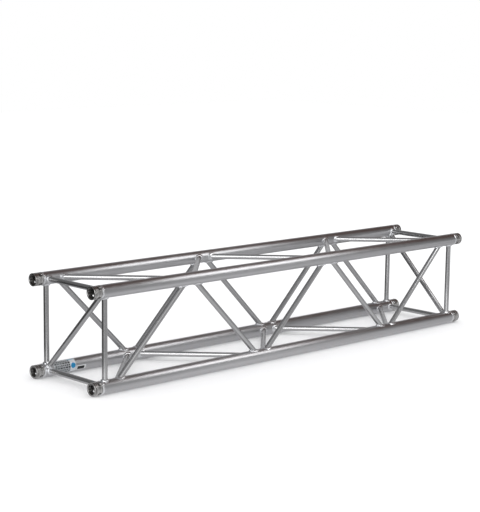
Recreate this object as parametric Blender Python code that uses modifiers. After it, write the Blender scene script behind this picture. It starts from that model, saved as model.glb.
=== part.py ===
"""Square lighting truss section, two metres long.

Four chord tubes carry a bored receiver at each end. Slanted lacing tubes join the chords
on all four sides, and each end is closed by a square frame with one diagonal.

+X runs along the truss and +Z is up. The origin is on the floor under the middle.
The -X end is called left, and the -Y side is called front.
"""

import math

import bmesh
import bpy
from mathutils import Matrix, Vector

# Driving dimensions, in metres.
LENGTH = 2.000              # over the end faces of the receivers
SPACING = 0.339             # between chord axes, across and up
CHORD_RADIUS = 0.024
CHORD_WALL = 0.003
BRACE_RADIUS = 0.010
BRACE_WALL = 0.002
GAP = 0.0003                # kept between pieces that touch

# Receiver: a turned sleeve with a tapered blind bore for a conical coupler.
JOINT_DEPTH = 0.03875       # end face to the joint with the chord tube
SPIGOT_END = 0.060          # end face to the back of the spigot
SPIGOT_RADIUS = 0.0207
MOUTH_RADIUS = 0.0185
BORE_END_RADIUS = 0.0155
BORE_DEPTH = 0.050
DRILL_POINT = 0.004         # cone left by the drill past the bore's full width
RIM_CHAMFER = 0.0007
PIN_RADIUS = 0.006
PIN_DEPTH = 0.024           # end face to the axes of the two crossed pin holes

# Welds.
GROOVE_HALF = 0.0038        # half width of the groove between receiver and chord
GROOVE_DEPTH = 0.002
BEAD_RISE = 0.0013          # crown of the ring weld above the tube
BEAD_CROWN_HALF = 0.0018
WELD_LEG = 0.004            # leg of the fillet at the foot of each brace

# Bracing.
PANELS = 5
LACING_START = 0.895        # middle of the truss to the outermost lacing node
END_FRAME = 0.940           # middle of the truss to the end frames

# Labels round the front of the bottom rear chord: from, to, turn up from the front, height.
LABEL_THICKNESS = 0.0003
FOIL_LABEL = (-0.922, -0.823, math.radians(12), 0.058)
TAG_LABEL = (-0.8215, -0.778, math.radians(-25), 0.022)

# Facets round each kind of piece.
CHORD_FACETS = 32
RECEIVER_FACETS = 24
PIN_FACETS = 16
BRACE_FACETS = 16
LABEL_STEPS = 12

HALF_LENGTH = LENGTH / 2
# A flat facet of the ring welds faces down, so the part stands on them.
LIFT = SPACING / 2 + (CHORD_RADIUS + BEAD_RISE) * math.cos(math.pi / RECEIVER_FACETS)

ALONG = Vector((1, 0, 0))
ACROSS = Vector((0, 1, 0))
UP = Vector((0, 0, 1))

# Side of each chord across and up.
CORNERS = {
    "bottom_front": (-1, -1),
    "bottom_rear": (1, -1),
    "top_front": (-1, 1),
    "top_rear": (1, 1),
}
ENDS = {"left": -1, "right": 1}

# Chords that the first lacing of each side runs between, from left to right.
SIDES = {
    "front": ("bottom_front", "top_front"),
    "rear": ("top_rear", "bottom_rear"),
    "top": ("top_rear", "top_front"),
    "bottom": ("bottom_front", "bottom_rear"),
}
END_POSTS = {
    "front": ("bottom_front", "top_front"),
    "rear": ("bottom_rear", "top_rear"),
}
END_CROSSES = {
    "bottom": ("bottom_front", "bottom_rear"),
    "top": ("top_front", "top_rear"),
}
END_DIAGONALS = {
    "left": ("top_front", "bottom_rear"),
    "right": ("top_rear", "bottom_front"),
}


def clear_scene():
    for old in list(bpy.data.objects):
        bpy.data.objects.remove(old, do_unlink=True)


def new_collection(name):
    made = bpy.data.collections.new(name)
    bpy.context.scene.collection.children.link(made)
    return made


def principled(name, colour, metallic, roughness):
    material = bpy.data.materials.new(name)
    material.use_nodes = True
    shader = material.node_tree.nodes["Principled BSDF"]
    shader.inputs["Base Color"].default_value = (*colour, 1.0)
    shader.inputs["Metallic"].default_value = metallic
    shader.inputs["Roughness"].default_value = roughness
    return material


def extruded_aluminium():
    return principled("extruded_aluminium", (0.55, 0.55, 0.56), 1.0, 0.34)


def brace_aluminium():
    return principled("brace_aluminium", (0.57, 0.57, 0.57), 1.0, 0.38)


def machined_aluminium():
    return principled("machined_aluminium", (0.50, 0.49, 0.48), 1.0, 0.25)


def weld_metal():
    return principled("weld_metal", (0.72, 0.73, 0.75), 1.0, 0.42)


def label_foil():
    return principled("label_foil", (0.42, 0.44, 0.46), 0.6, 0.45)


def label_paper():
    return principled("label_paper", (0.70, 0.71, 0.71), 0.0, 0.60)


def chord_axis(corner, x=0.0):
    """The point on a chord's axis at a distance x along the truss."""
    across, up = CORNERS[corner]
    return Vector((x, across * SPACING / 2, LIFT + up * SPACING / 2))


def turned(name, profile, facets):
    """An object turned about Z from (radius, height) points, outer side first, top to bottom.

    The first facet is centred on X, so flat facets face along the axes.
    """
    half_facet = math.pi / facets
    mesh = bpy.data.meshes.new(name)
    points = [
        (radius * math.cos(half_facet), radius * math.sin(half_facet), height)
        for radius, height in profile
    ]
    sides = [(i, (i + 1) % len(points)) for i in range(len(points))]
    mesh.from_pydata(points, sides, [])
    piece = bpy.data.objects.new(name, mesh)
    screw = piece.modifiers.new("turn", "SCREW")
    screw.axis = "Z"
    screw.angle = math.tau
    screw.steps = facets
    screw.render_steps = facets
    screw.use_merge_vertices = True
    screw.merge_threshold = 0.00001
    screw.use_smooth_shade = True
    return piece


def cut(piece, cutter):
    boolean = piece.modifiers.new("cut", "BOOLEAN")
    boolean.operation = "DIFFERENCE"
    boolean.solver = "EXACT"
    boolean.object = cutter


def finished_mesh(piece):
    """The mesh of an object with its modifiers applied."""
    bpy.context.view_layer.update()
    view = bpy.context.evaluated_depsgraph_get()
    return bpy.data.meshes.new_from_object(piece.evaluated_get(view))


def put(name, mesh, material, collection, matrix):
    """Place one named object that may share its mesh with others."""
    if not mesh.materials:
        mesh.materials.append(material)
    piece = bpy.data.objects.new(name, mesh)
    collection.objects.link(piece)
    piece.matrix_world = matrix
    return piece


def hide_guide(guide, collection):
    collection.objects.link(guide)
    guide.hide_render = True
    guide.display_type = "WIRE"


def out_of_end(corner, side):
    """The frame at a chord's end face: its Z runs out of the truss."""
    turn = Matrix.Rotation(side * math.pi / 2, 4, "Y")
    return Matrix.Translation(chord_axis(corner, side * HALF_LENGTH)) @ turn


def chord_guide():
    """The chord tube, with both ends bevelled for the ring welds."""
    inner = CHORD_RADIUS - CHORD_WALL
    land = CHORD_RADIUS - GROOVE_DEPTH
    end = HALF_LENGTH - JOINT_DEPTH - GAP / 2
    bevel = HALF_LENGTH - JOINT_DEPTH - GROOVE_HALF
    profile = [
        (land, end),
        (CHORD_RADIUS, bevel),
        (CHORD_RADIUS, -bevel),
        (land, -end),
        (inner, -end),
        (inner, end),
    ]
    return turned("chord_guide", profile, CHORD_FACETS)


def receiver_blank():
    """The sleeve before its pin holes: z is 0 at the end face and falls into the truss."""
    land = CHORD_RADIUS - GROOVE_DEPTH
    profile = [
        (MOUTH_RADIUS + RIM_CHAMFER, 0.0),
        (CHORD_RADIUS - RIM_CHAMFER, 0.0),
        (CHORD_RADIUS, -RIM_CHAMFER),
        (CHORD_RADIUS, GROOVE_HALF - JOINT_DEPTH),
        (land, GAP / 2 - JOINT_DEPTH),
        (SPIGOT_RADIUS, GAP / 2 - JOINT_DEPTH),
        (SPIGOT_RADIUS, RIM_CHAMFER - SPIGOT_END),
        (SPIGOT_RADIUS - RIM_CHAMFER, -SPIGOT_END),
        (0.0, -SPIGOT_END),
        (0.0, -BORE_DEPTH - DRILL_POINT),
        (BORE_END_RADIUS, -BORE_DEPTH),
        (MOUTH_RADIUS, -RIM_CHAMFER),
    ]
    return turned("receiver_blank", profile, RECEIVER_FACETS)


def pin_cutter(number):
    """One of two crossed drills, turned 45 degrees from the truss's sides."""
    mesh = bpy.data.meshes.new(f"pin_cutter_{number}")
    drill = bmesh.new()
    bmesh.ops.create_cone(
        drill,
        cap_ends=True,
        segments=PIN_FACETS,
        radius1=PIN_RADIUS,
        radius2=PIN_RADIUS,
        depth=4 * CHORD_RADIUS,
    )
    drill.to_mesh(mesh)
    drill.free()
    cutter = bpy.data.objects.new(mesh.name, mesh)
    turn = Matrix.Rotation(math.radians(45 + 90 * number), 4, "Z")
    cutter.matrix_world = (
        Matrix.Translation((0, 0, -PIN_DEPTH)) @ turn @ Matrix.Rotation(math.pi / 2, 4, "Y")
    )
    return cutter


def ring_weld_guide():
    """The bead that fills the groove: z is 0 at the end face, as on the receiver."""
    foot = CHORD_RADIUS + GAP * 1.2
    profile = [
        (CHORD_RADIUS + BEAD_RISE, BEAD_CROWN_HALF - JOINT_DEPTH),
        (CHORD_RADIUS + BEAD_RISE, -BEAD_CROWN_HALF - JOINT_DEPTH),
        (foot, -GROOVE_HALF - JOINT_DEPTH),
        (foot - GROOVE_DEPTH, -JOINT_DEPTH),
        (foot, GROOVE_HALF - JOINT_DEPTH),
    ]
    return turned("ring_weld_guide", profile, RECEIVER_FACETS)


def reach(offset, direction, seats):
    """How far from a node a line beside a brace's axis leaves the tubes that the brace seats on.

    offset is the line's distance from the axis, and seats are (axis, radius) pairs of tubes
    that pass through the node.
    """
    longest = 0.0
    for axis, radius in seats:
        side = offset - offset.dot(axis) * axis
        run = direction - direction.dot(axis) * axis
        square = run.length_squared
        middle = side.dot(run)
        inside = middle * middle - square * (side.length_squared - radius * radius)
        if inside > 0:
            longest = max(longest, (math.sqrt(inside) - middle) / square)
    return longest


def brace_mesh(name, start, end, seats, leg):
    """A tube between two nodes, with both ends coped to their seats.

    A leg above 0 adds the fillet weld round each foot.
    """
    axis = end - start
    length = axis.length
    turn = axis.to_track_quat("Z", "Y")
    local_seats = [(turn.inverted() @ line, radius) for line, radius in seats]
    inner = BRACE_RADIUS - BRACE_WALL
    profile = [(inner, 0), (BRACE_RADIUS, leg), (BRACE_RADIUS, length - leg), (inner, length)]
    if leg:
        profile.insert(1, (BRACE_RADIUS + leg, 0))
        profile.insert(4, (BRACE_RADIUS + leg, length))
    tube = bmesh.new()
    points = [tube.verts.new((radius, 0, height)) for radius, height in profile]
    sides = [tube.edges.new((point, points[i - 1])) for i, point in enumerate(points)]
    bmesh.ops.spin(
        tube,
        geom=points + sides,
        axis=UP,
        angle=math.tau,
        steps=BRACE_FACETS,
        use_merge=True,
    )
    for point in tube.verts:
        offset = Vector((point.co.x, point.co.y, 0))
        if point.co.z < length / 2:
            point.co.z += reach(offset, UP, local_seats)
        else:
            point.co.z -= reach(offset, -UP, local_seats)
    bmesh.ops.recalc_face_normals(tube, faces=tube.faces)
    mesh = bpy.data.meshes.new(name)
    tube.to_mesh(mesh)
    tube.free()
    mesh.shade_smooth()
    mesh.set_sharp_from_angle(angle=math.radians(35))
    return mesh, Matrix.Translation(start) @ turn.to_matrix().to_4x4()


def brace(name, start, end, seats, leg, material, collection):
    mesh, matrix = brace_mesh(name, start, end, seats, leg)
    put(name, mesh, material, collection, matrix)


def label(name, sizes, material, collection):
    """A thin sheet bent round the front of the bottom rear chord."""
    x_from, x_to, tilt, height = sizes
    radius = CHORD_RADIUS + GAP
    sheet = bmesh.new()
    bmesh.ops.create_grid(sheet, x_segments=1, y_segments=LABEL_STEPS, size=0.5)
    for point in sheet.verts:
        along, up = point.co.x, point.co.y
        turn = tilt + up * height / radius
        point.co.x = (x_from + x_to) / 2 + along * (x_to - x_from)
        point.co.y = -radius * math.cos(turn)
        point.co.z = radius * math.sin(turn)
    mesh = bpy.data.meshes.new(name)
    sheet.to_mesh(mesh)
    sheet.free()
    mesh.shade_smooth()
    piece = put(name, mesh, material, collection, Matrix.Translation(chord_axis("bottom_rear")))
    thicken = piece.modifiers.new("thickness", "SOLIDIFY")
    thicken.thickness = LABEL_THICKNESS
    thicken.offset = 1.0


def build_chords(collection, guides):
    guide = chord_guide()
    hide_guide(guide, guides)
    mesh = finished_mesh(guide)
    metal = extruded_aluminium()
    for corner in CORNERS:
        matrix = Matrix.Translation(chord_axis(corner)) @ Matrix.Rotation(math.pi / 2, 4, "Y")
        put(f"chord_{corner}", mesh, metal, collection, matrix)


def build_receivers(collection, guides):
    blank = receiver_blank()
    hide_guide(blank, guides)
    for number in range(2):
        cutter = pin_cutter(number)
        hide_guide(cutter, guides)
        cut(blank, cutter)
    mesh = finished_mesh(blank)
    metal = machined_aluminium()
    for corner in CORNERS:
        for end, side in ENDS.items():
            put(f"receiver_{corner}_{end}", mesh, metal, collection, out_of_end(corner, side))


def build_ring_welds(collection, guides):
    guide = ring_weld_guide()
    hide_guide(guide, guides)
    mesh = finished_mesh(guide)
    metal = weld_metal()
    for corner in CORNERS:
        for end, side in ENDS.items():
            put(f"ring_weld_{corner}_{end}", mesh, metal, collection, out_of_end(corner, side))


def build_lacing(collection, metal):
    """Slanted tubes that zigzag along each side, five to a side."""
    pitch = (2 * LACING_START - SPACING) / (PANELS - 1)
    seats = [(ALONG, CHORD_RADIUS + GAP)]
    for side, (first, second) in SIDES.items():
        for panel in range(PANELS):
            lower, upper = (first, second) if panel % 2 == 0 else (second, first)
            x = panel * pitch - LACING_START
            start = chord_axis(lower, x)
            end = chord_axis(upper, x + SPACING)
            brace(f"lacing_{side}_{panel + 1}", start, end, seats, WELD_LEG, metal, collection)


def build_end_frames(collection, metal):
    """The square of posts and cross tubes at each end, and its diagonal."""
    on_chord = [(ALONG, CHORD_RADIUS + GAP)]
    clear_of_neighbours = on_chord + [
        (ACROSS, BRACE_RADIUS + WELD_LEG + GAP),
        (UP, BRACE_RADIUS + WELD_LEG + GAP),
    ]
    for end, side in ENDS.items():
        x = side * END_FRAME
        squares = [(f"end_post_{place}_{end}", pair) for place, pair in END_POSTS.items()]
        squares += [(f"end_cross_{place}_{end}", pair) for place, pair in END_CROSSES.items()]
        for name, (first, second) in squares:
            start, stop = chord_axis(first, x), chord_axis(second, x)
            brace(name, start, stop, on_chord, WELD_LEG, metal, collection)
        first, second = END_DIAGONALS[end]
        start, stop = chord_axis(first, x), chord_axis(second, x)
        brace(f"end_diagonal_{end}", start, stop, clear_of_neighbours, 0.0, metal, collection)


def main():
    clear_scene()
    truss = new_collection("lighting_truss_section")
    guides = new_collection("guides_and_cutters")
    build_chords(truss, guides)
    build_receivers(truss, guides)
    build_ring_welds(truss, guides)
    tube_metal = brace_aluminium()
    build_lacing(truss, tube_metal)
    build_end_frames(truss, tube_metal)
    label("label_foil_bottom_rear", FOIL_LABEL, label_foil(), truss)
    label("label_tag_bottom_rear", TAG_LABEL, label_paper(), truss)


main()
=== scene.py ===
# %% [markdown]
# # A square lighting truss section
#
# A lighting truss is a light, stiff beam that carries lamps over a stage. This one is a two
# metre section of square truss: four thick chord tubes, a zigzag of thin lacing tubes on each
# side, and a machined sleeve at each chord's end that takes the next section's coupler.
#
# The plain solids of the section are loaded first, as a fixed frame. They are faceted, so this
# lesson makes a smooth piece in the place of each one, with the welds, the machining and the
# metal finishes that the plain solids leave out.

# %% Load the frame
import math

import bmesh
import bpy
from mathutils import Matrix, Vector, noise


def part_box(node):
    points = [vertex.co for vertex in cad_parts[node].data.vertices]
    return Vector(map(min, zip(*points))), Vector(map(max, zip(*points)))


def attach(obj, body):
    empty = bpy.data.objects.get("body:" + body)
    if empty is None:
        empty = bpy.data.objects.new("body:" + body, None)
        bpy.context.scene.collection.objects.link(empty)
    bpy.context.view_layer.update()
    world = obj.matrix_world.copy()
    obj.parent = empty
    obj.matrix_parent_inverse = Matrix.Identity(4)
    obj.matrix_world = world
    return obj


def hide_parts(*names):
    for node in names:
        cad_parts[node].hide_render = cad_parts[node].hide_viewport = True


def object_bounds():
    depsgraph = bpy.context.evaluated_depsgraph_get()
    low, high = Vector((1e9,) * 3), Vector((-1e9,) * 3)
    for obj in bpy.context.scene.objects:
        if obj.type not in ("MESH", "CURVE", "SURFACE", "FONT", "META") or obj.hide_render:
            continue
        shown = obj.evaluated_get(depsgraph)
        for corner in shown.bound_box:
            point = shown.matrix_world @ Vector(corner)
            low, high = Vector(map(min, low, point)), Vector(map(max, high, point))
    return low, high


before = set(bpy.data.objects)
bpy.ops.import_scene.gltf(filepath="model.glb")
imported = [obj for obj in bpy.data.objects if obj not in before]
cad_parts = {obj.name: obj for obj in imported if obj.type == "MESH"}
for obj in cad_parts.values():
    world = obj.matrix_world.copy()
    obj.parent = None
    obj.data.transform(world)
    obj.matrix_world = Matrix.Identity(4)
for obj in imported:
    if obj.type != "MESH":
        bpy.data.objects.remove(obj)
cad_low, cad_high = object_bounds()
print("solids:", len(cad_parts), "box:", [round(size, 4) for size in cad_high - cad_low])

# %% [markdown]
# ## Sizes
#
# Only a few sizes drive the whole section. The tube sizes are the ones that a workshop would
# order. The places are measured from the loaded solids, so that a fine piece can't drift away
# from the plain one that it stands for.

# %% Name the sizes and measure the places
MM = 0.001
CHORD_RADIUS = 24 * MM
CHORD_WALL = 3 * MM
BRACE_RADIUS = 10 * MM
BRACE_WALL = 2 * MM
SLEEVE_DEPTH = 38.75 * MM      # end face to the weld that joins the sleeve to its chord

CORNERS = ("bottom_front", "bottom_rear", "top_front", "top_rear")
ENDS = {"left": -1, "right": 1}


def middle(node):
    """The middle of a plain solid's box."""
    low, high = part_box(node)
    return (low + high) / 2


AXES = {corner: middle(f"chord_{corner}") for corner in CORNERS}
SPACING = AXES["bottom_rear"].y - AXES["bottom_front"].y
HALF_LENGTH = (cad_high.x - cad_low.x) / 2
print(f"chords {SPACING / MM:.1f} mm apart, half length {HALF_LENGTH / MM:.1f} mm")

# %% [markdown]
# ## The camera
#
# The section is seen from its left front corner, from a little above. A long lens keeps the
# two ends close to the same size. Azimuth turns the camera round the section, with 0 looking
# straight at the front, and the small roll is what a tripod head that isn't level leaves. A
# constraint could aim the camera, but angles and a distance say plainly where it stands.

# %% Place the camera
CAMERA_TARGET = Vector((-0.2828, 0.0, 0.3685))
CAMERA_DISTANCE = 5.7145
CAMERA_AZIMUTH = math.radians(-42.613)
CAMERA_ELEVATION = math.radians(9.539)
CAMERA_ROLL = math.radians(0.53)
SENSOR_WIDTH = 36              # millimetres, as Blender counts lenses and sensors
LENS = 105.1
LENS_SHIFT = (0.0552, 0.0149)


def direction(azimuth, elevation):
    """The unit vector towards an azimuth and elevation, with azimuth 0 along -Y."""
    flat = math.cos(elevation)
    return Vector((math.sin(azimuth) * flat, -math.cos(azimuth) * flat, math.sin(elevation)))


towards_camera = direction(CAMERA_AZIMUTH, CAMERA_ELEVATION)
camera = bpy.data.objects.new("camera", bpy.data.cameras.new("camera"))
camera.data.sensor_width = SENSOR_WIDTH
camera.data.lens = LENS
camera.data.shift_x, camera.data.shift_y = LENS_SHIFT
turn = towards_camera.to_track_quat("Z", "Y").to_matrix().to_4x4()
place = Matrix.Translation(CAMERA_TARGET + CAMERA_DISTANCE * towards_camera)
camera.matrix_world = place @ turn @ Matrix.Rotation(CAMERA_ROLL, 4, "Z")
bpy.context.scene.collection.objects.link(camera)
bpy.context.scene.camera = camera
print("camera at", [round(value, 3) for value in camera.matrix_world.translation])

# %% [markdown]
# ## Helpers for shapes
#
# Nearly every piece here is round, so it starts as a small outline of (radius, height) points
# that is spun round the Z axis. A Screw modifier could turn the outline too, but a bmesh spin
# gives a mesh whose points can be moved at once, which the coped tube ends and the rippled
# welds need. Each piece also gets a map of its unrolled skin, which the metal's grain follows.

# %% Spin an outline, and finish a piece
truss = bpy.data.collections.new("truss_pieces")
bpy.context.scene.collection.children.link(truss)
UV_NAME = "around_and_along"
SHARP_EDGE = math.radians(25)


def spun(outline, steps):
    """A closed outline of (radius, height) points, turned once round Z."""
    shape = bmesh.new()
    points = [shape.verts.new((radius, 0, height)) for radius, height in outline]
    sides = [shape.edges.new((points[i - 1], point)) for i, point in enumerate(points)]
    bmesh.ops.spin(
        shape,
        geom=points + sides,
        axis=(0, 0, 1),
        cent=(0, 0, 0),
        angle=math.tau,
        steps=steps,
        use_merge=True,
    )
    bmesh.ops.remove_doubles(shape, verts=shape.verts, dist=0.001 * MM)
    bmesh.ops.recalc_face_normals(shape, faces=shape.faces)
    return shape


def unroll(shape, radius):
    """Gives each face a place on the unrolled tube: metres round it, and metres along it."""
    layer = shape.loops.layers.uv.new(UV_NAME)
    for face in shape.faces:
        centre = face.calc_center_median()
        middle_angle = math.atan2(centre.y, centre.x)
        for loop in face.loops:
            point = loop.vert.co
            angle = math.atan2(point.y, point.x)
            if abs(angle - middle_angle) > math.pi:
                angle += math.copysign(math.tau, middle_angle)
            loop[layer].uv = (angle * radius, point.z)


def finished(name, mesh, finishes, node):
    """The object of one finished mesh, which stands for a plain solid and rides on the truss."""
    for finish in finishes:
        mesh.materials.append(finish)
    mesh.shade_smooth()
    mesh.set_sharp_from_angle(angle=SHARP_EDGE)
    piece = bpy.data.objects.new(name, mesh)
    truss.objects.link(piece)
    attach(piece, "root")
    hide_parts(node)
    return piece


def to_mesh(name, shape, matrix):
    """Moves a shape to its place and makes it a mesh."""
    bmesh.ops.transform(shape, matrix=matrix, verts=shape.verts)
    mesh = bpy.data.meshes.new(name)
    shape.to_mesh(mesh)
    shape.free()
    return mesh


bore = CHORD_RADIUS - CHORD_WALL
trial = spun([(CHORD_RADIUS, 0), (CHORD_RADIUS, 1), (bore, 1), (bore, 0)], 64)
print(f"a metre of chord tube holds {trial.calc_volume() * 1e6:.0f} cm3 of metal")
trial.free()

# %% [markdown]
# ## Helpers for finishes
#
# Paint charts give colours as sRGB hex values, while the renderer works in linear light, so
# one function turns one into the other. Another adds a node to a material with its settings
# and its links, which keeps each finish below short enough to read as a recipe.

# %% Colours and nodes
def linear(hex_colour):
    """The linear RGBA colour of an sRGB hex value."""
    channels = [int(hex_colour[i:i + 2], 16) / 255 for i in (0, 2, 4)]
    return (*[c / 12.92 if c <= 0.04045 else ((c + 0.055) / 1.055) ** 2.4 for c in channels], 1)


def add(tree, kind, inputs=None, **settings):
    """Adds a node. Each input is a value, or the output of another node, by name or number."""
    made = tree.nodes.new(kind)
    for name, value in settings.items():
        setattr(made, name, value)
    for socket, value in (inputs or {}).items():
        if isinstance(value, bpy.types.NodeSocket):
            tree.links.new(value, made.inputs[socket])
        else:
            made.inputs[socket].default_value = value
    return made


def new_finish(name):
    """An empty material: its node tree, and the shader to fill in."""
    finish = bpy.data.materials.new(name)
    finish.use_nodes = True
    return finish, finish.node_tree, finish.node_tree.nodes["Principled BSDF"]


def ramp(tree, value, low, high, from_low=0.0, from_high=1.0):
    """Carries a value from one range to another, and holds it at the ends."""
    inputs = {"Value": value, "To Min": low, "To Max": high}
    inputs.update({"From Min": from_low, "From Max": from_high})
    return add(tree, "ShaderNodeMapRange", inputs).outputs["Result"]


def blend_colours(tree, factor, first, second):
    """Mixes two colours, each a colour or a socket."""
    mixed = add(tree, "ShaderNodeMix", {0: factor, 6: first, 7: second}, data_type="RGBA")
    return mixed.outputs[2]


print(f"the sRGB grey 808080 is {linear('808080')[0]:.3f} in linear light")

# %% [markdown]
# ## Extruded tube
#
# The chords and braces are aluminium 6082, pushed through a die as a long tube and left in
# mill finish. The die leaves fine lines along the tube, so a reflection is sharp along it and
# smeared round it. That is an anisotropic metal, whose tangent runs round the tube. Handling
# adds soft smudges that are duller than the rest. What the eye gets is a satin tube with broad
# light and dark streaks along it, and no sparkle.
#
# The die lines are finer than a render can show, so they are drawn about a millimetre apart.

# %% Aluminium tube finishes
SMUDGE_SIZE = 60 * MM


def tube_finish(name, light, dark, roughness, spread, line_pitch, line_length):
    """Mill-finish aluminium tube, with die lines along it and smudges from handling."""
    finish, tree, shader = new_finish(name)
    place = add(tree, "ShaderNodeUVMap", uv_map=UV_NAME).outputs["UV"]
    per_metre = {"Vector": place, "Scale": (1 / line_pitch, 1 / line_length, 1)}
    unrolled = add(tree, "ShaderNodeMapping", per_metre).outputs["Vector"]
    die_lines = {"Vector": unrolled, "Scale": 1.0, "Detail": 3.0}
    lines = add(tree, "ShaderNodeTexNoise", die_lines).outputs["Fac"]
    solid = add(tree, "ShaderNodeTexCoord").outputs["Object"]
    smudge = {"Vector": solid, "Scale": 1 / SMUDGE_SIZE, "Detail": 4.0, "Roughness": 0.6}
    smudges = add(tree, "ShaderNodeTexNoise", smudge).outputs["Fac"]
    mottle = add(tree, "ShaderNodeMath", {0: lines, 1: smudges}, operation="ADD").outputs[0]
    shade = ramp(tree, mottle, 0.0, 1.0, 0.7, 1.3)
    colour = blend_colours(tree, shade, linear(dark), linear(light))
    dullness = ramp(tree, smudges, roughness - 0.015, roughness + 0.03, 0.35, 0.75)
    grain = add(tree, "ShaderNodeTangent", direction_type="UV_MAP", uv_map=UV_NAME)
    shader.inputs["Metallic"].default_value = 1.0
    shader.inputs["Anisotropic"].default_value = spread
    tree.links.new(colour, shader.inputs["Base Color"])
    tree.links.new(dullness, shader.inputs["Roughness"])
    tree.links.new(grain.outputs["Tangent"], shader.inputs["Tangent"])
    return finish


# the chords: the duller of the two, with the broadest streaks
chord_metal = tube_finish(
    "extruded_aluminium_chord", "C6C6C8", "C0C0C2",
    roughness=0.31, spread=0.75, line_pitch=1.1 * MM, line_length=160 * MM,
)
# the braces: drawn through a finer die, so their streaks are sharper and brighter
brace_metal = tube_finish(
    "drawn_aluminium_brace", "C5C5C6", "BEBEBF",
    roughness=0.25, spread=0.65, line_pitch=0.9 * MM, line_length=110 * MM,
)
print("tube finishes:", chord_metal.name, brace_metal.name)

# %% [markdown]
# ## Weld metal
#
# The welder lays an aluminium filler rod as a row of overlapping puddles. Each puddle freezes
# with a clean, bright, slightly frosted skin that is lighter than the tube beside it, so the
# eye finds each joint as a small bright collar. The ripples are real geometry further down,
# so the finish only adds the frosting, whose crystals are drawn several times their real size.

# %% Weld finish
FROST_SIZE = 0.8 * MM
SKIN_RELIEF = 0.1 * MM


def weld_finish():
    """Clean aluminium filler, bright and finely frosted."""
    finish, tree, shader = new_finish("tig_weld_metal")
    solid = add(tree, "ShaderNodeTexCoord").outputs["Object"]
    frost = {"Vector": solid, "Scale": 1 / FROST_SIZE, "Detail": 2.0}
    frosting = add(tree, "ShaderNodeTexNoise", frost).outputs["Fac"]
    colour = blend_colours(tree, frosting, linear("DDDEE1"), linear("F6F7F9"))
    dullness = ramp(tree, frosting, 0.18, 0.30, 0.35, 0.65)
    relief = {"Height": frosting, "Strength": 0.25, "Distance": SKIN_RELIEF}
    bump = add(tree, "ShaderNodeBump", relief).outputs["Normal"]
    shader.inputs["Metallic"].default_value = 1.0
    tree.links.new(colour, shader.inputs["Base Color"])
    tree.links.new(dullness, shader.inputs["Roughness"])
    tree.links.new(bump, shader.inputs["Normal"])
    return finish


weld_metal = weld_finish()
print("weld finish:", weld_metal.name)

# %% [markdown]
# ## Turned sleeve
#
# The sleeves are turned on a lathe from solid bar. The cutting tip leaves rings round the
# sleeve, and cutting oil that gets into them makes the metal a little darker and warmer than
# the tube. The eye gets a sharp, busy glint that is banded round the sleeve.
#
# Real tool rings are a fraction of a millimetre apart, which a render can't show, so they are
# drawn 2.4 mm apart.

# %% Turned finish
TOOL_RING_PITCH = 2.4 * MM
TOOL_RING_LENGTH = 90 * MM
STAIN_SIZE = 14 * MM


def turned_finish():
    """Lathe-turned aluminium with tool rings, seen round every sleeve."""
    finish, tree, shader = new_finish("turned_aluminium_sleeve")
    place = add(tree, "ShaderNodeUVMap", uv_map=UV_NAME).outputs["UV"]
    per_metre = {"Vector": place, "Scale": (1 / TOOL_RING_LENGTH, 1 / TOOL_RING_PITCH, 1)}
    unrolled = add(tree, "ShaderNodeMapping", per_metre).outputs["Vector"]
    tool_rings = {"Vector": unrolled, "Scale": 1.0, "Detail": 2.0}
    rings = add(tree, "ShaderNodeTexNoise", tool_rings).outputs["Fac"]
    solid = add(tree, "ShaderNodeTexCoord").outputs["Object"]
    stain = {"Vector": solid, "Scale": 1 / STAIN_SIZE, "Detail": 4.0}
    stains = add(tree, "ShaderNodeTexNoise", stain).outputs["Fac"]
    clean = ramp(tree, stains, 0.0, 1.0, 0.35, 0.65)
    oily = blend_colours(tree, clean, linear("7C7A79"), linear("ACABA9"))
    shade = ramp(tree, rings, 0.0, 1.0, 0.4, 0.62)
    colour = blend_colours(tree, shade, oily, linear("CBCAC9"))
    dullness = ramp(tree, rings, 0.20, 0.32, 0.3, 0.7)
    relief = {"Height": rings, "Strength": 0.3, "Distance": SKIN_RELIEF}
    bump = add(tree, "ShaderNodeBump", relief).outputs["Normal"]
    shader.inputs["Metallic"].default_value = 1.0
    tree.links.new(colour, shader.inputs["Base Color"])
    tree.links.new(dullness, shader.inputs["Roughness"])
    tree.links.new(bump, shader.inputs["Normal"])
    return finish


sleeve_metal = turned_finish()
print("sleeve finish:", sleeve_metal.name)

# %% [markdown]
# ## Chords
#
# A chord is the thick tube that carries the load. It is a plain length of tube whose ends are
# bevelled, to leave a groove for the weld to the sleeve. Its wall is real, although the
# sleeves close both ends. A curve with a round bevel would be quicker to make, but a spun
# outline has a wall and the bevelled ends too.

# %% Chord tubes
WELD_GROOVE_HALF = 3.8 * MM
WELD_GROOVE_DEPTH = 2 * MM
CHORD_STEPS = 128
EDGE_HOLD = 1 * MM             # a ring of points near each end keeps the long wall's shading true
ALONG_X = Matrix.Rotation(math.pi / 2, 4, "Y")


def chord_shape():
    """A length of tube with bevelled ends, lying along Z with its middle at the origin."""
    end = HALF_LENGTH - SLEEVE_DEPTH
    bevel = end - WELD_GROOVE_HALF
    hold = bevel - EDGE_HOLD
    land = CHORD_RADIUS - WELD_GROOVE_DEPTH
    inside = CHORD_RADIUS - CHORD_WALL
    outline = [
        (land, end), (CHORD_RADIUS, bevel), (CHORD_RADIUS, hold),
        (CHORD_RADIUS, -hold), (CHORD_RADIUS, -bevel), (land, -end),
        (inside, -end), (inside, end),
    ]
    return spun(outline, CHORD_STEPS)


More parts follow.
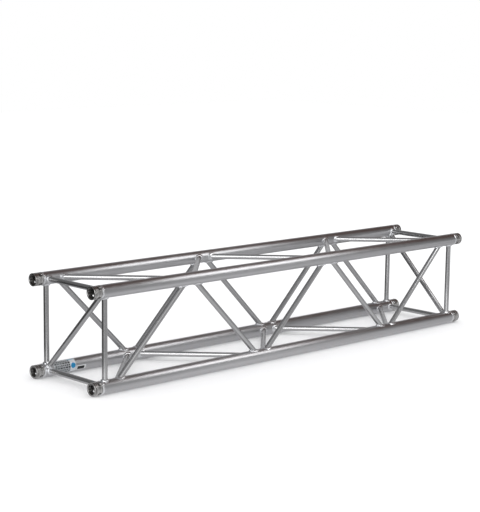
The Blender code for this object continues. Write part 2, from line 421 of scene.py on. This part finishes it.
for corner in CORNERS:
    shape = chord_shape()
    unroll(shape, CHORD_RADIUS)
    centre = Matrix.Translation((0, AXES[corner].y, AXES[corner].z))
    mesh = to_mesh(f"chord_tube_{corner}", shape, centre @ ALONG_X)
    chord = finished(mesh.name, mesh, [chord_metal], f"chord_{corner}")
print("chord tubes:", len(CORNERS), "with", len(chord.data.polygons), "faces each")

# %% [markdown]
# ## Ring welds
#
# A ring weld joins each sleeve to its chord. A welder turns the truss and lays puddle on
# puddle, which freezes as a row of curved scales. The bead is spun as a low arch, and then
# each point is lifted or lowered by a wave that runs round the ring. The wave's crests bow
# backwards away from the middle of the bead, as the edge of a cooling puddle does. A bump map
# could draw the scales too, but it wouldn't show on the bead's outline.

# %% Rippled ring beads
RING_RIPPLES = 48
STEPS_PER_RIPPLE = 8
RING_HALF_WIDTH = 4.4 * MM
RING_RISE = 1.0 * MM
RIPPLE_HEIGHT = 0.25 * MM
WANDER = 0.12 * MM
WANDER_SIZE = 7 * MM
BEAD_SINK = 0.15 * MM          # the bead's edges dip this far below the tube's skin
EDGE_SWAY = 0.35 * MM          # each scale pushes the bead's edge out this far


def scale_wave(turns, sideways, bow=0.35):
    """Height of the weld's scales, 0 to 1: round crests, sharp valleys, and bowed edges."""
    return abs(math.sin(math.pi * (turns + bow * sideways * sideways)))


def wander(point, seed):
    """A slow unevenness, -1 to 1, that makes no two welds the same."""
    return noise.noise(point / WANDER_SIZE + Vector((seed * 3.7, 0, 0)))


def ring_bead_shape(seed):
    """The bead that fills the groove between a sleeve and its chord, with its root below."""
    points_across = 10
    outline = []
    for i in range(points_across + 1):
        across = 2 * i / points_across - 1
        arch = RING_RISE * (1 - across * across)
        outline.append((CHORD_RADIUS - BEAD_SINK + arch, -across * RING_HALF_WIDTH))
    outline.append((CHORD_RADIUS - 0.9 * WELD_GROOVE_DEPTH, 0))
    shape = spun(outline, RING_RIPPLES * STEPS_PER_RIPPLE)
    for vert in shape.verts:
        point = vert.co
        radius = math.hypot(point.x, point.y)
        if radius < CHORD_RADIUS - 2 * BEAD_SINK:
            continue
        across = -point.z / RING_HALF_WIDTH
        turns = math.atan2(point.y, point.x) / math.tau * RING_RIPPLES
        wave = scale_wave(turns, across)
        lift = RIPPLE_HEIGHT * (wave - 0.5) * (1 - 0.6 * across * across)
        lift += WANDER * wander(point, seed) * (1 - across * across)
        point.z -= math.copysign(EDGE_SWAY, across) * wave * across * across
        point.xy *= (radius + lift) / radius
    bmesh.ops.recalc_face_normals(shape, faces=shape.faces)
    return shape


def out_of_end(corner, side):
    """The place of a chord's end face: its Z runs out of the truss."""
    turn = Matrix.Rotation(side * math.pi / 2, 4, "Y")
    return Matrix.Translation((side * HALF_LENGTH, AXES[corner].y, AXES[corner].z)) @ turn


for number, corner in enumerate(CORNERS):
    for end, side in ENDS.items():
        shape = ring_bead_shape(2 * number + side)
        unroll(shape, CHORD_RADIUS)
        inwards = Matrix.Translation((0, 0, -SLEEVE_DEPTH))
        mesh = to_mesh(f"ring_bead_{corner}_{end}", shape, out_of_end(corner, side) @ inwards)
        bead = finished(mesh.name, mesh, [weld_metal], f"ring_weld_{corner}_{end}")
print("ring beads: 8 with", len(bead.data.polygons), "faces each")

# %% [markdown]
# ## Sleeves
#
# A sleeve is turned from bar: a round body, a spigot that slips into the chord, and a tapered
# bore for the coupler. Two crossed holes take the pins that lock the coupler in. The body is
# spun, and the pin holes are cut by a Boolean with cutters that widen at the skin, which
# leaves the small chamfer that stops a pin from jamming.

# %% Sleeve body and pin holes
SLEEVE_STEPS = 128
SPIGOT_RADIUS = 20.7 * MM
SPIGOT_END = 60 * MM
MOUTH_RADIUS = 18.5 * MM
BORE_END_RADIUS = 15.5 * MM
BORE_DEPTH = 50 * MM
DRILL_POINT = 4 * MM
RIM_CHAMFER = 0.7 * MM
PIN_RADIUS = 6 * MM
PIN_DEPTH = 24 * MM            # end face to the axes of the pin holes
PIN_STEPS = 48
PIN_FLARE = 1.1                # radial widening for each unit outwards, past the sleeve's skin
TOOL_GROOVES = (6 * MM, 10 * MM, 34 * MM)      # depths of the turned witness grooves
GROOVE_HALF = 0.45 * MM
GROOVE_CUT = 0.3 * MM


def sleeve_outline():
    """One half of a sleeve's section, from the rim of its mouth, over the outside, and back."""
    land = CHORD_RADIUS - WELD_GROOVE_DEPTH
    outline = [
        (MOUTH_RADIUS + RIM_CHAMFER, 0),
        (CHORD_RADIUS - RIM_CHAMFER, 0),
        (CHORD_RADIUS, -RIM_CHAMFER),
    ]
    for depth in TOOL_GROOVES:
        outline += [
            (CHORD_RADIUS, GROOVE_HALF - depth),
            (CHORD_RADIUS - GROOVE_CUT, GROOVE_HALF / 3 - depth),
            (CHORD_RADIUS - GROOVE_CUT, -GROOVE_HALF / 3 - depth),
            (CHORD_RADIUS, -GROOVE_HALF - depth),
        ]
    outline += [
        (CHORD_RADIUS, WELD_GROOVE_HALF - SLEEVE_DEPTH),
        (land, -SLEEVE_DEPTH),
        (SPIGOT_RADIUS, -SLEEVE_DEPTH),
        (SPIGOT_RADIUS, RIM_CHAMFER - SPIGOT_END),
        (SPIGOT_RADIUS - RIM_CHAMFER, -SPIGOT_END),
        (0, -SPIGOT_END),
        (0, -BORE_DEPTH - DRILL_POINT),
        (BORE_END_RADIUS, -BORE_DEPTH),
        (MOUTH_RADIUS, -RIM_CHAMFER),
    ]
    return outline


def pin_drill(number):
    """A double-ended drill along one diagonal, which widens where it leaves the sleeve."""
    skin = 22.9 * MM           # the chamfer starts here, a little under the sleeve's skin
    clear = 30 * MM
    top = (clear - skin + PIN_RADIUS) * PIN_FLARE
    outline = [
        (0, clear), (top, clear), (PIN_RADIUS, skin),
        (PIN_RADIUS, -skin), (top, -clear), (0, -clear),
    ]
    drill = spun(outline, PIN_STEPS)
    lean = Matrix.Rotation(math.pi / 2, 4, "Y")
    turn = Matrix.Rotation(math.radians(45 + 90 * number), 4, "Z")
    down = Matrix.Translation((0, 0, -PIN_DEPTH))
    mesh = to_mesh(f"pin_drill_{number}", drill, down @ turn @ lean)
    return bpy.data.objects.new(mesh.name, mesh)


def drilled_sleeve():
    """The mesh of one sleeve, with the Booleans already applied."""
    blank_shape = spun(sleeve_outline(), SLEEVE_STEPS)
    blank = bpy.data.objects.new("sleeve_blank", to_mesh("sleeve_blank", blank_shape, Matrix()))
    drills = [pin_drill(number) for number in range(2)]
    for thing in [blank, *drills]:
        truss.objects.link(thing)
    for drill in drills:
        boolean = blank.modifiers.new("pin_hole", "BOOLEAN")
        boolean.operation = "DIFFERENCE"
        boolean.solver = "EXACT"
        boolean.object = drill
    bpy.context.view_layer.update()
    view = bpy.context.evaluated_depsgraph_get()
    mesh = bpy.data.meshes.new_from_object(blank.evaluated_get(view))
    for thing in [blank, *drills]:
        bpy.data.objects.remove(thing, do_unlink=True)
    return mesh


sleeve_mesh = drilled_sleeve()
for corner in CORNERS:
    for end, side in ENDS.items():
        shape = bmesh.new()
        shape.from_mesh(sleeve_mesh)
        unroll(shape, CHORD_RADIUS)
        mesh = to_mesh(f"coupler_sleeve_{corner}_{end}", shape, out_of_end(corner, side))
        node = f"receiver_{corner}_{end}"
        sleeve = finished(mesh.name, mesh, [sleeve_metal], node)
print("sleeves: 8 with", len(sleeve.data.polygons), "faces each")

# %% [markdown]
# ## Braces
#
# Each brace is a thin tube whose ends are coped, which means cut to the curve of the chord
# that they sit on, and then welded all round. Cutting each end with a Boolean would work, but
# sliding the end points along the tube until they lie on the chord gives cleaner faces. The
# same slide also carries the fillet weld, whose section is spun round the foot.

# %% How far a foot slides, and the fillet at a foot
ALONG = Vector((1, 0, 0))
ON_CHORD = [(ALONG, CHORD_RADIUS)]


def reach(offset, seats):
    """How far up the Z axis a line beside it leaves the tubes that cross the origin.

    offset is the line's distance from the axis, and seats are (axis, radius) pairs.
    """
    up = Vector((0, 0, 1))
    longest = 0.0
    for axis, radius in seats:
        side = offset - offset.dot(axis) * axis
        run = up - up.dot(axis) * axis
        square = run.length_squared
        inner = side.dot(run)
        inside = inner * inner - square * (side.length_squared - radius * radius)
        if inside > 0:
            longest = max(longest, (math.sqrt(inside) - inner) / square)
    return longest


FILLET_LEG = 5.4 * MM
FILLET_BULGE = 1.6 * MM
FILLET_RIPPLES = 26
FILLET_RIPPLE_HEIGHT = 0.42 * MM
FILLET_WANDER = 0.35 * MM
FILLET_SINK = 0.1 * MM         # the fillet's toes dip this far below the skins it joins
FOOT_SINK = 0.4 * MM


def fillet_shape(seats, seed):
    """The rippled fillet round a foot at the origin, for a tube that leaves along +Z."""
    points_across = 7
    outline = []
    for i in range(points_across + 1):
        down = i / points_across
        swell = FILLET_BULGE * math.sin(math.pi * down) * math.sqrt(0.5)
        outline.append((
            BRACE_RADIUS - FILLET_SINK + FILLET_LEG * down + swell,
            FILLET_LEG * (1 - down) + swell - FILLET_SINK,
        ))
    outline.append((BRACE_RADIUS - FOOT_SINK, -FOOT_SINK))
    shape = spun(outline, FILLET_RIPPLES * STEPS_PER_RIPPLE)
    for vert in shape.verts:
        point = vert.co
        radius = math.hypot(point.x, point.y)
        out = radius - BRACE_RADIUS
        if out + point.z > FILLET_LEG / 2:
            down = min(1.0, max(0.0, (1 + (out - point.z) / FILLET_LEG) / 2))
            turns = math.atan2(point.y, point.x) / math.tau * FILLET_RIPPLES
            wave = scale_wave(turns, 2 * down - 1)
            lift = FILLET_RIPPLE_HEIGHT * (wave - 0.5) + FILLET_WANDER * wander(point, seed)
            radius += lift * math.sin(math.pi / 2 * down)
            point.z += lift * math.cos(math.pi / 2 * down)
            point.xy *= radius / math.hypot(point.x, point.y)
        point.z += reach(Vector((point.x, point.y, 0)), seats)
    bmesh.ops.recalc_face_normals(shape, faces=shape.faces)
    return shape


crown = reach(Vector((0, 0, 0)), ON_CHORD)
flank = reach(Vector((0, BRACE_RADIUS, 0)), ON_CHORD)
print(f"the cope of a square foot is {(crown - flank) / MM:.1f} mm deep")

# %% [markdown]
# The tube itself is six rings of points: inside and outside at each end, and two further in
# that hold its shading. Both fillets are spun at the origin, and the far one is then turned end
# for end and moved to its foot. The three shapes stay in one piece with two finishes, as a
# welded brace is one thing to pick up.

# %% A whole brace
BRACE_STEPS = 48
FOOT_HOLD = 52 * MM            # a ring of points past the cope keeps the tube's shading true
HALF_TURN = Matrix.Rotation(math.pi, 4, "X")


def brace_mesh(name, start, stop, seats, seed):
    """A coped tube between two points on the chords, with a fillet weld at each foot."""
    axis = stop - start
    length = axis.length
    turn = axis.to_track_quat("Z", "Y")
    near_seats = [(turn.inverted() @ line, radius) for line, radius in seats]
    far_seats = [(HALF_TURN.to_3x3() @ line, radius) for line, radius in near_seats]
    inside = BRACE_RADIUS - BRACE_WALL
    outline = [(inside, -FOOT_SINK), (BRACE_RADIUS, -FOOT_SINK), (BRACE_RADIUS, FOOT_HOLD)]
    outline += [(BRACE_RADIUS, length - FOOT_HOLD), (BRACE_RADIUS, length + FOOT_SINK)]
    outline += [(inside, length + FOOT_SINK)]
    tube = spun(outline, BRACE_STEPS)
    for vert in tube.verts:
        offset = Vector((vert.co.x, vert.co.y, 0))
        if vert.co.z < 0:
            vert.co.z += reach(offset, near_seats)
        elif vert.co.z > length:
            vert.co.z -= reach(HALF_TURN @ offset, far_seats)
    bmesh.ops.recalc_face_normals(tube, faces=tube.faces)
    tube_faces = len(tube.faces)
    far_foot = Matrix.Translation((0, 0, length)) @ HALF_TURN
    feet = ((Matrix(), near_seats, seed), (far_foot, far_seats, seed + 50))
    for foot, foot_seats, foot_seed in feet:
        fillet = to_mesh("fillet", fillet_shape(foot_seats, foot_seed), foot)
        tube.from_mesh(fillet)
        bpy.data.meshes.remove(fillet)
    tube.faces.ensure_lookup_table()
    for face in tube.faces[tube_faces:]:
        face.material_index = 1
    unroll(tube, BRACE_RADIUS)
    return to_mesh(name, tube, Matrix.Translation(start) @ turn.to_matrix().to_4x4())


def add_brace(name, node, start, stop, seats, seed):
    """A finished brace of two finishes: its faces of slot 1 are the weld metal."""
    mesh = brace_mesh(name, start, stop, seats, seed)
    return finished(name, mesh, [brace_metal, weld_metal], node)


trial = brace_mesh("trial_brace", Vector((0, 0, 0)), Vector((0, 0, SPACING)), ON_CHORD, 0)
print("a post from chord to chord has", len(trial.polygons), "faces with its two fillets")
bpy.data.meshes.remove(trial)

# %% [markdown]
# ## Lacing
#
# Five lacing tubes zigzag along each side of the truss at 45 degrees. The first one of a side
# starts at one chord, the next one at the other, and so on. An array could repeat them, but
# then all the welds would be alike. Each one's middle is measured from its solid, and its two
# ends lie half a chord spacing to either side.

# %% Lacing tubes
SIDES = {
    "front": ("bottom_front", "top_front"),
    "rear": ("top_rear", "bottom_rear"),
    "top": ("top_rear", "top_front"),
    "bottom": ("bottom_front", "bottom_rear"),
}
PANELS = 5


def on_axis(corner, x):
    """The point of a chord's axis at one place along the truss."""
    return Vector((x, AXES[corner].y, AXES[corner].z))


for side_number, (side, pair) in enumerate(SIDES.items()):
    for panel in range(PANELS):
        first, second = pair if panel % 2 == 0 else reversed(pair)
        node = f"lacing_{side}_{panel + 1}"
        x = middle(node).x
        start, stop = on_axis(first, x - SPACING / 2), on_axis(second, x + SPACING / 2)
        name = f"lacing_tube_{side}_{panel + 1}"
        lacing = add_brace(name, node, start, stop, ON_CHORD, PANELS * side_number + panel)
print("lacing tubes:", len(SIDES) * PANELS, "with", len(lacing.data.polygons), "faces each")

# %% [markdown]
# ## End frames
#
# Each end is a square of four short tubes, close to the sleeves, and one diagonal across the
# opening keeps the square from leaning. The diagonal's feet sit in corners where two tubes
# already meet, so its ends are coped to those tubes too.

# %% End frame tubes
END_TUBES = {
    "end_post_front": ("bottom_front", "top_front"),
    "end_post_rear": ("bottom_rear", "top_rear"),
    "end_cross_bottom": ("bottom_front", "bottom_rear"),
    "end_cross_top": ("top_front", "top_rear"),
}
END_DIAGONALS = {
    "left": ("top_front", "bottom_rear"),
    "right": ("top_rear", "bottom_front"),
}
NEIGHBOURS = [(Vector((0, 1, 0)), BRACE_RADIUS), (Vector((0, 0, 1)), BRACE_RADIUS)]

for end_number, end in enumerate(ENDS):
    x = middle(f"end_post_front_{end}").x
    for tube_number, (tube, (first, second)) in enumerate(END_TUBES.items()):
        start, stop = on_axis(first, x), on_axis(second, x)
        seed = 100 + 10 * end_number + tube_number
        add_brace(f"{tube}_tube_{end}", f"{tube}_{end}", start, stop, ON_CHORD, seed)
    first, second = END_DIAGONALS[end]
    start, stop = on_axis(first, x), on_axis(second, x)
    seats = ON_CHORD + NEIGHBOURS
    seed = 140 + end_number
    add_brace(f"end_diagonal_tube_{end}", f"end_diagonal_{end}", start, stop, seats, seed)
print("end frame tubes:", 2 * (len(END_TUBES) + 1))

# %% [markdown]
# ## Labels
#
# Two stickers sit at the left end of the bottom rear chord: a foil rating plate and a small
# paper tag. Both are thin sheets, bent round the tube. Each is a flat grid first, so that its
# map can be taken before it is bent, and then the bending is one formula.

# %% Label sheets
LABEL_LIFT = 0.3 * MM
LABEL_THICKNESS = 0.25 * MM
LABEL_STEPS = 24
FOIL_NODE = "label_foil_bottom_rear"
FOIL_HEIGHT = 58 * MM
FOIL_TILT = math.radians(12)
TAG_NODE = "label_tag_bottom_rear"
TAG_HEIGHT = 22 * MM
TAG_TILT = math.radians(-25)


def label_mesh(name, x_from, x_to, tilt, height):
    """A sheet bent round the front of the bottom rear chord."""
    width = x_to - x_from
    radius = CHORD_RADIUS + LABEL_LIFT
    sheet = bmesh.new()
    bmesh.ops.create_grid(sheet, x_segments=1, y_segments=LABEL_STEPS, size=0.5)
    bmesh.ops.scale(sheet, vec=(width, height, 1), verts=sheet.verts)
    layer = sheet.loops.layers.uv.new(UV_NAME)
    for face in sheet.faces:
        for loop in face.loops:
            loop[layer].uv = (loop.vert.co.x, loop.vert.co.y)
    for vert in sheet.verts:
        x = (x_from + x_to) / 2 + vert.co.x
        angle = tilt + vert.co.y / radius
        vert.co = (x, -radius * math.cos(angle), radius * math.sin(angle))
    bmesh.ops.solidify(sheet, geom=sheet.faces[:], thickness=-LABEL_THICKNESS)
    bmesh.ops.recalc_face_normals(sheet, faces=sheet.faces)
    axis = AXES["bottom_rear"]
    return to_mesh(name, sheet, Matrix.Translation((0, axis.y, axis.z)))


def width_of(node):
    """The length along the truss of a plain solid."""
    low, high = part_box(node)
    return high.x - low.x


wrap = math.degrees(FOIL_HEIGHT / (CHORD_RADIUS + LABEL_LIFT))
print(f"the foil is {width_of(FOIL_NODE) / MM:.0f} mm wide and wraps {wrap:.0f} degrees")

# %% [markdown]
# ## Label print
#
# The labels carry no lettering here: rows of grey blocks stand for the print, with a plain blue
# disc, a thin blue rule and a plain dark bar. The print follows the sheet's own map, which runs
# in metres from the middle of the sheet. A brick pattern gives uneven grey blocks in rows, which
# read as print from afar. The foil gives the eye a dull silver sheen, and the paper tag none.

# %% Label finishes
def box_mask(tree, along, up, x_from, x_to, y_from, y_to):
    """1 inside a rectangle of the label's map, and 0 outside it."""
    inside = 1.0
    for value, low, high in ((along, x_from, x_to), (up, y_from, y_to)):
        for edge, operation in ((low, "GREATER_THAN"), (high, "LESS_THAN")):
            beyond = add(tree, "ShaderNodeMath", {0: value, 1: edge}, operation=operation)
            both = {0: inside, 1: beyond.outputs[0]}
            inside = add(tree, "ShaderNodeMath", both, operation="MULTIPLY").outputs[0]
    return inside


def foil_finish(width, height):
    """Silver foil with rows of grey print, a pale panel, a blue disc and a thin blue rule."""
    finish, tree, shader = new_finish("printed_foil_label")
    place = add(tree, "ShaderNodeUVMap", uv_map=UV_NAME).outputs["UV"]
    split = add(tree, "ShaderNodeSeparateXYZ", {"Vector": place})
    along, up = split.outputs["X"], split.outputs["Y"]
    left, right = -width / 2, width / 2
    margin = 3 * MM
    low, high = margin - height / 2, height / 2 - margin
    rows = {
        "Vector": place, "Scale": 1.0, "Mortar Size": 1.7 * MM, "Mortar Smooth": 0.2,
        "Brick Width": 12 * MM, "Row Height": 8.5 * MM,
        "Color1": linear("0A0B0C"), "Color2": linear("6E7276"), "Mortar": linear("B0B3B6"),
    }
    print_rows = add(tree, "ShaderNodeTexBrick", rows, offset=0.37, squash=0.7).outputs["Color"]
    text = box_mask(tree, along, up, left + margin, right - 27 * MM, low, high)
    colour = blend_colours(tree, text, linear("C3C7CB"), print_rows)
    panel = box_mask(tree, along, up, right - 25 * MM, right - 2 * MM, low, high)
    colour = blend_colours(tree, panel, colour, linear("DDE1E4"))
    disc_place = {"Vector": place, "Location": (left + 13.5 * MM, 1 * MM, 0)}
    centred = add(tree, "ShaderNodeMapping", disc_place).outputs["Vector"]
    distance = add(tree, "ShaderNodeVectorMath", {0: centred}, operation="LENGTH")
    within = {0: distance.outputs["Value"], 1: 10.5 * MM}
    disc = add(tree, "ShaderNodeMath", within, operation="LESS_THAN").outputs[0]
    colour = blend_colours(tree, disc, colour, linear("2A8FC4"))
    rule_low, rule_high = height / 2 - 4.5 * MM, height / 2 - 1 * MM
    rule = box_mask(tree, along, up, right - 32 * MM, right - 4 * MM, rule_low, rule_high)
    colour = blend_colours(tree, rule, colour, linear("6FB4D6"))
    shader.inputs["Metallic"].default_value = 0.35
    shader.inputs["Roughness"].default_value = 0.38
    tree.links.new(colour, shader.inputs["Base Color"])
    return finish


def tag_finish(width):
    """Matt white paper with one dark bar."""
    finish, tree, shader = new_finish("printed_paper_tag")
    place = add(tree, "ShaderNodeUVMap", uv_map=UV_NAME).outputs["UV"]
    split = add(tree, "ShaderNodeSeparateXYZ", {"Vector": place})
    along, up = split.outputs["X"], split.outputs["Y"]
    bar_from, bar_to = 4 * MM - width / 2, width / 2 - 7 * MM
    bar = box_mask(tree, along, up, bar_from, bar_to, -6.5 * MM, 7.5 * MM)
    colour = blend_colours(tree, bar, linear("D9DBDC"), linear("1F1F21"))
    shader.inputs["Roughness"].default_value = 0.5
    tree.links.new(colour, shader.inputs["Base Color"])
    return finish


foil_print = foil_finish(width_of(FOIL_NODE), FOIL_HEIGHT)
tag_print = tag_finish(width_of(TAG_NODE))
print("label finishes:", foil_print.name, tag_print.name)

# %% [markdown]
# The two sheets take their left and right edges from the plain solids, and their height and
# tilt round the chord from the sizes above. A Shrinkwrap modifier could press them on, but a
# round tube is simple enough for the bending formula.

# %% Stick the labels on
def add_label(name, node, tilt, height, finish):
    """A finished label in the place of its plain solid."""
    low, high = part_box(node)
    mesh = label_mesh(name, low.x, high.x, tilt, height)
    return finished(name, mesh, [finish], node)


foil = add_label("foil_rating_label", FOIL_NODE, FOIL_TILT, FOIL_HEIGHT, foil_print)
tag = add_label("paper_tag", TAG_NODE, TAG_TILT, TAG_HEIGHT, tag_print)
print("labels:", foil.name, tag.name)

# %% [markdown]
# ## Floor
#
# The section stands on a plain pale floor that runs out past the view. Its colour is close to
# white, so it meets the backdrop without a seam, and only the soft shade under the lowest
# tubes shows where it is. The metal doesn't reflect it, and gets the light table instead.

# %% Pale floor
FLOOR_WIDTH = 24.0
FLOOR_DROP = 0.5 * MM


def staged_sheet(name, finish, width, depth, matrix):
    """A flat sheet that belongs to the studio and not to the truss."""
    shape = bmesh.new()
    bmesh.ops.create_grid(shape, x_segments=1, y_segments=1, size=0.5)
    bmesh.ops.scale(shape, vec=(width, depth, 1), verts=shape.verts)
    sheet = bpy.data.objects.new(name, to_mesh(name, shape, matrix))
    sheet.data.materials.append(finish)
    bpy.context.scene.collection.objects.link(sheet)
    return sheet


# matt white paint: it only takes shade, and never shines
floor_finish, tree, shader = new_finish("pale_studio_floor")
shader.inputs["Base Color"].default_value = linear("F7F7F8")
shader.inputs["Roughness"].default_value = 0.9
shader.inputs["Specular IOR Level"].default_value = 0.0
below = Matrix.Translation((0, 0, -FLOOR_DROP))
floor = staged_sheet("floor", floor_finish, FLOOR_WIDTH, FLOOR_WIDTH, below)
floor.visible_glossy = False
print("floor:", [round(size, 1) for size in floor.dimensions])

# %% [markdown]
# ## Light table
#
# Metal is often shot on a backlit sheet of glossy acrylic, so that its underside isn't black.
# It is brightest along a line near its front edge and fades towards the back, and it lies
# turned a little from the truss. The fade is painted light and shade: the glow stands for the
# lit floor, bright where light pools in front of the truss and darker beneath it, where the
# truss shades the floor. It shows in reflections only: the undersides of the tubes see its
# glow, and its gloss mirrors the walls at them. An even floor would flatten the tubes.

# %% Lay the light table
TABLE_SIZE = (2.75, 1.15)
TABLE_PLACE = (0.12, -0.16, -0.3 * MM)
TABLE_TURN = math.radians(-9)

table_finish, tree, shader = new_finish("backlit_glossy_acrylic")
solid = add(tree, "ShaderNodeTexCoord").outputs["Object"]
stretched = {"Vector": solid, "Location": (0.045, 0.35, 0), "Scale": (0.15, 1.0, 1.0)}
from_middle = add(tree, "ShaderNodeMapping", stretched).outputs["Vector"]
distance = add(tree, "ShaderNodeVectorMath", {0: from_middle}, operation="LENGTH")
# painted shade: the glow dims away from its bright line, and is darkest under and behind the
# truss, where the truss shades the floor
painted_shade = ramp(tree, distance.outputs["Value"], 0.0, 1.0, 0.1, 0.45)
painted_floor_light = blend_colours(tree, painted_shade, (0.72, 0.72, 0.73, 1), (0.55, 0.55, 0.56, 1))
tree.links.new(painted_floor_light, shader.inputs["Emission Color"])
shader.inputs["Base Color"].default_value = linear("000000")
shader.inputs["Specular IOR Level"].default_value = 0.0
shader.inputs["Emission Strength"].default_value = 1.0
shader.inputs["Coat Weight"].default_value = 1.0
shader.inputs["Coat Roughness"].default_value = 0.12
table_finish.cycles.emission_sampling = "NONE"
turned = Matrix.Translation(TABLE_PLACE) @ Matrix.Rotation(TABLE_TURN, 4, "Z")
light_table = staged_sheet("light_table", table_finish, *TABLE_SIZE, turned)
light_table.visible_camera = False
light_table.visible_diffuse = False
light_table.visible_shadow = False
print("light table:", TABLE_SIZE, "m")

# %% [markdown]
# ## The room in the reflections
#
# Bare metal has hardly a colour of its own: it shows the room. This room has grey walls that
# darken towards the floor, and soft round patches on them stand for what else is in it: pale
# cards, mostly in front, dark corners, mostly behind, and a brown beam high on the right. Each
# patch has a direction, a full size, a faded edge and a light. Building the room from boxes
# would give the same reflections with far more to place.

# %% Paint the walls
world = bpy.data.worlds.new("studio")
bpy.context.scene.world = world
world.use_nodes = True
world.cycles.sampling_method = "NONE"
room = world.node_tree
looking = add(room, "ShaderNodeTexCoord").outputs["Generated"]

# azimuth, elevation, radius of the full light and of the faded edge, all in degrees, and light
ROOM_PATCHES = [
    (-125, -12, 18, 38, (0.08, 0.08, 0.08)),
    (25, -20, 35, 60, (0.46, 0.46, 0.47)),
    (8, 14, 22, 50, (0.37, 0.37, 0.37)),
    (64, 10, 8, 28, (0.20, 0.20, 0.20)),
    (92, 42, 16, 38, (0.10, 0.06, 0.05)),
    (-150, 28, 25, 45, (0.19, 0.19, 0.19)),
    (-85, 0, 18, 38, (0.13, 0.13, 0.13)),
    (134, 6, 14, 30, (0.52, 0.52, 0.53)),
    (-58, -12, 8, 20, (0.6, 0.6, 0.61)),
    (-51, 20, 20, 34, (0.7, 0.7, 0.71)),
    (-137, -9, 9, 24, (0.04, 0.04, 0.04)),
]


def patch(below, azimuth, elevation, full, edge, light):
    """Lays a round patch of light over the room so far."""
    centre = direction(math.radians(azimuth), math.radians(elevation))
    towards = {0: looking, 1: centre}
    facing = add(room, "ShaderNodeVectorMath", towards, operation="DOT_PRODUCT")
    near, far = math.cos(math.radians(full)), math.cos(math.radians(edge))
    inside = {"Value": facing.outputs["Value"], "From Min": far, "From Max": near}
    soft = add(room, "ShaderNodeMapRange", inside, interpolation_type="SMOOTHSTEP")
    return blend_colours(room, soft.outputs["Result"], below, (*light, 1))


height = add(room, "ShaderNodeSeparateXYZ", {"Vector": looking}).outputs["Z"]
above_skirting = ramp(room, height, 0.0, 1.0, -0.22, -0.05)
walls = blend_colours(room, above_skirting, (0.15, 0.15, 0.15, 1), (0.29, 0.29, 0.295, 1))
for azimuth, elevation, full, edge, light in ROOM_PATCHES:
    walls = patch(walls, azimuth, elevation, full, edge, light)
print("patches on the walls:", len(ROOM_PATCHES))

# %% [markdown]
# The painted walls are for the metal alone. The view past the truss is plain white, and so is
# the light that falls on matt surfaces, which keeps the floor clean. The kind of ray tells the
# three apart, where separate rooms would need separate renders.

# %% Show each ray its own room
BACKDROP_LIGHT = (1.0, 1.0, 1.0, 1)
FLOOR_LIGHT = (1.22, 1.22, 1.22, 1)

ray = add(room, "ShaderNodeLightPath")
reflected = add(room, "ShaderNodeBackground", {"Color": walls, "Strength": 1.0})
backdrop = add(room, "ShaderNodeBackground", {"Color": BACKDROP_LIGHT, "Strength": 1.0})
spread = add(room, "ShaderNodeBackground", {"Color": FLOOR_LIGHT, "Strength": 1.0})
by_camera = {0: ray.outputs["Is Camera Ray"], 1: reflected.outputs[0], 2: backdrop.outputs[0]}
seen = add(room, "ShaderNodeMixShader", by_camera)
by_matt = {0: ray.outputs["Is Diffuse Ray"], 1: seen.outputs[0], 2: spread.outputs[0]}
lit = add(room, "ShaderNodeMixShader", by_matt)
room.links.new(lit.outputs[0], room.nodes["World Output"].inputs["Surface"])
bpy.context.scene.view_settings.view_transform = "Standard"
print("room painted with", len(room.nodes), "nodes")

# %% [markdown]
# ## Soft boxes and cards
#
# Four flat lights hang round the section. The soft box in front, to the right, draws the long
# bright line along the upper part of each chord. A pale wall in front, to the left, fills the
# left halves of the tubes, and a low card at the right lifts their lower edges. A very large
# soft box, far behind the camera, gives the posts and lacing their broad light side.
#
# Each brightness is set as what the metal sees, and the power follows from the area. A flat
# light gives a smoother reflection than an equally bright patch on the wall would.

# %% Hang the lights
def hang_light(name, place, towards, size, radiance):
    """A flat rectangular light that shines one way, and that only metal sees."""
    light = bpy.data.lights.new(name, "AREA")
    light.shape = "RECTANGLE"
    light.size, light.size_y = size
    light.energy = radiance * math.pi * size[0] * size[1]
    lamp = bpy.data.objects.new(name, light)
    turn = (-towards).to_track_quat("Z", "Y").to_matrix().to_4x4()
    lamp.matrix_world = Matrix.Translation(place) @ turn
    lamp.visible_camera = False
    lamp.visible_diffuse = False
    bpy.context.scene.collection.objects.link(lamp)
    return lamp


BOX_PLACE = Vector((1.19, -1.17, 1.51))
BOX_AIM = Vector((1.19, 0.0, 0.2))
TO_FAR_BOX = direction(math.radians(-51), 0)
FAR_BOX_PLACE = 12 * TO_FAR_BOX + Vector((0, 0, 5.0))
TO_LOW_CARD = direction(math.radians(50), 0)

soft_box = hang_light("soft_box", BOX_PLACE, BOX_AIM - BOX_PLACE, (1.15, 1.0), 2.65)
hang_light("front_wall", Vector((-1.5, -2.7, 1.4)), Vector((0, 1, 0)), (2.4, 2.8), 0.50)
hang_light("low_card", Vector((1.75, -1.15, 0.155)), -TO_LOW_CARD, (2.2, 0.3), 0.32)
hang_light("strip_box", FAR_BOX_PLACE, -TO_FAR_BOX, (6.4, 10.5), 2.7)
print("lights:", len(bpy.data.lights), f"with the soft box at {soft_box.data.energy:.1f} W")
